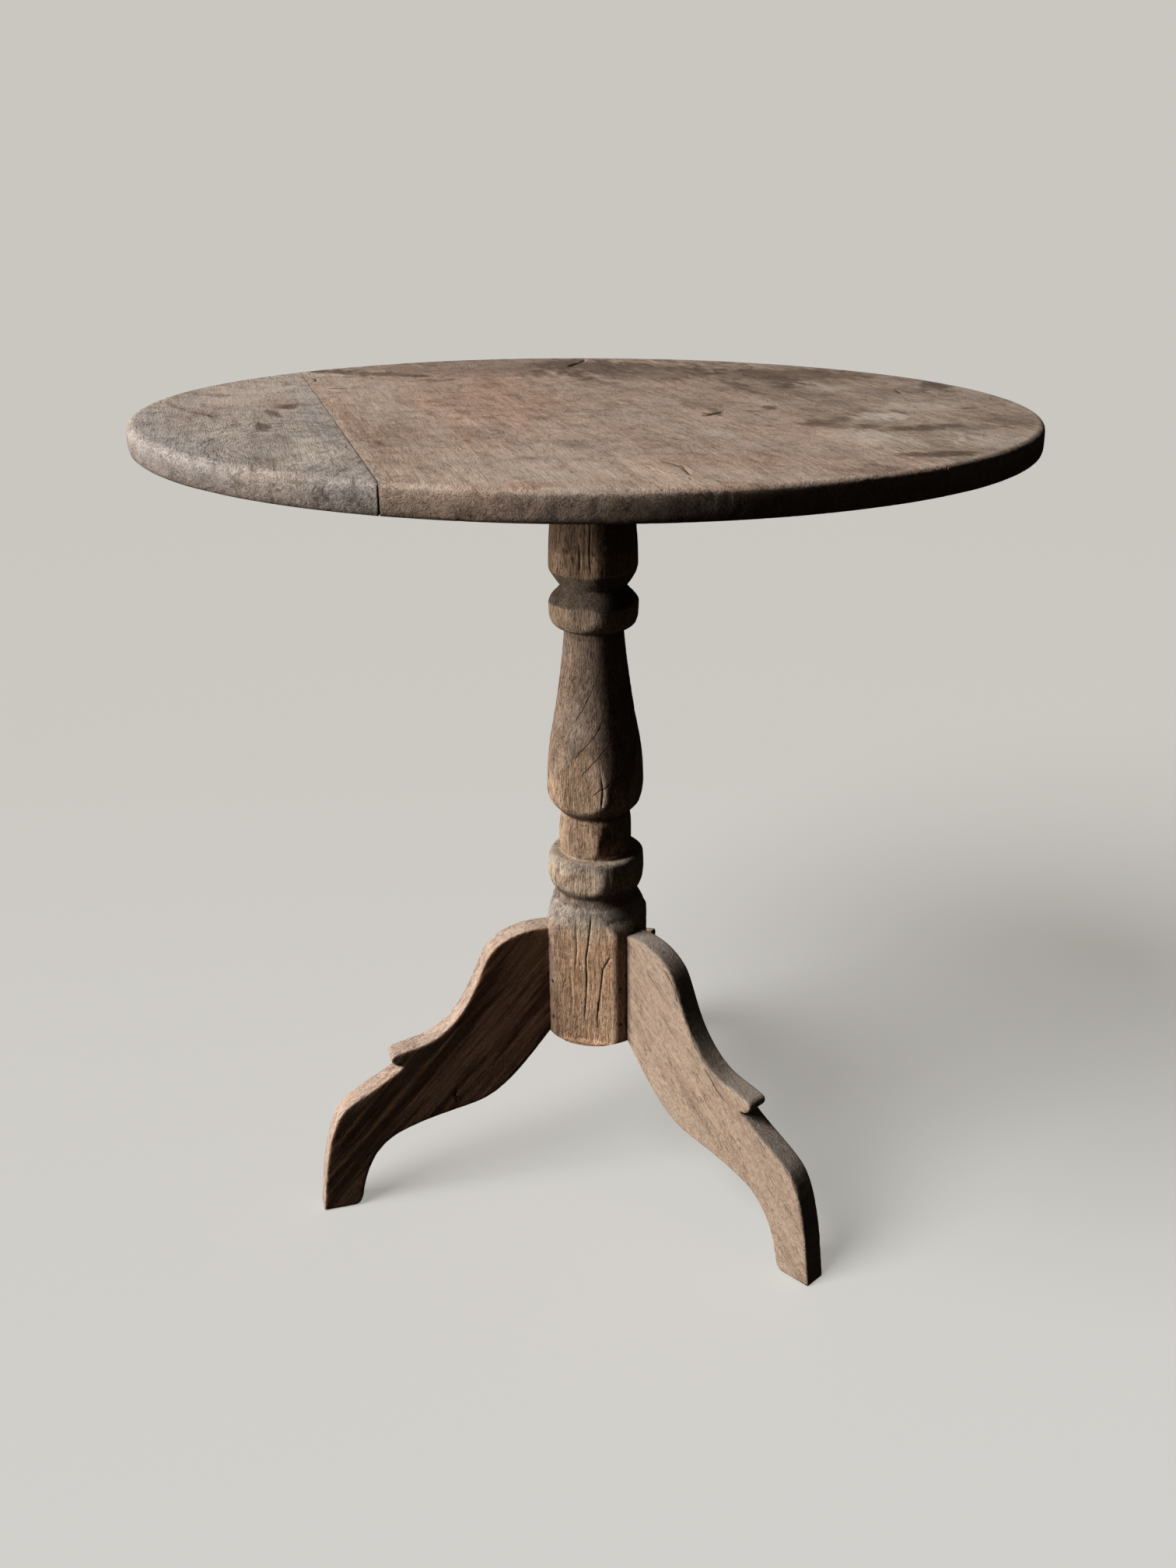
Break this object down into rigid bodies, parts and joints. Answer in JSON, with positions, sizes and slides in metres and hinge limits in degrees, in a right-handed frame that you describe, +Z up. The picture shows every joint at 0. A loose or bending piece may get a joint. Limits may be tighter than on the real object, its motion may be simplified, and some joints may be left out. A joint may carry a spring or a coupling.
{
  "type": "tilt top table",
  "caption": "Round wooden table on a turned column with scrolled legs; the board top tips up to vertical on a rod and locks with a spring catch.",
  "frame": {"origin": "on the floor under the column's axis, at the bottom centre of the bounding box", "axes": "+Z up, normal to the closed top; Y along the board seams and the pivot rod; the top's +X side goes down as it tips"},
  "size_m": [0.75, 0.75, 0.76],
  "materials": {
    "top_wood": "bare weathered reclaimed boards, matt, worn and stained",
    "column_wood": "bare weathered turning, matt, dry and split along the grain",
    "leg_wood": "bare weathered boards, matt, sawn edges worn smooth",
    "under_wood": "plain dark unfinished wood",
    "iron": "dark aged iron",
    "brass": "dull aged brass",
    "spring_steel": "dull steel"
  },
  "bodies": {
    "pedestal": {"column": "column_wood", "leg_left": "leg_wood", "leg_right": "leg_wood", "leg_rear": "leg_wood", "leg_nails": "iron", "pivot_block": "under_wood", "tenon_wedges": "under_wood", "pivot_rod": "iron", "pivot_washers": "iron", "pivot_nuts": "iron", "keeper_plate": "iron", "keeper_screws": "iron"},
    "top": {"board_left": "top_wood", "board_middle": "top_wood", "board_right": "top_wood", "seam_dowels_left": "under_wood", "seam_dowels_right": "under_wood", "batten_front": "under_wood", "batten_rear": "under_wood", "batten_screws": "iron", "catch_frame": "brass", "catch_screws": "brass", "catch_spring": "spring_steel"},
    "bolt": {"catch_bolt": "spring_steel", "catch_knob": "brass"}
  },
  "joints": [
    {"name": "top_tilt", "type": "hinge", "parent": "pedestal", "child": "top", "pos_m": [0.048, 0, 0.718], "axis": [0, 1, 0], "range_deg": [0, 90]},
    {"name": "catch_slide", "type": "slide", "parent": "top", "child": "bolt", "axis": [-1, 0, 0], "range_m": [0, 0.009], "stiffness_N_per_m": 500, "springref_m": -0.006, "deforming": ["catch_spring"]}
  ]
}
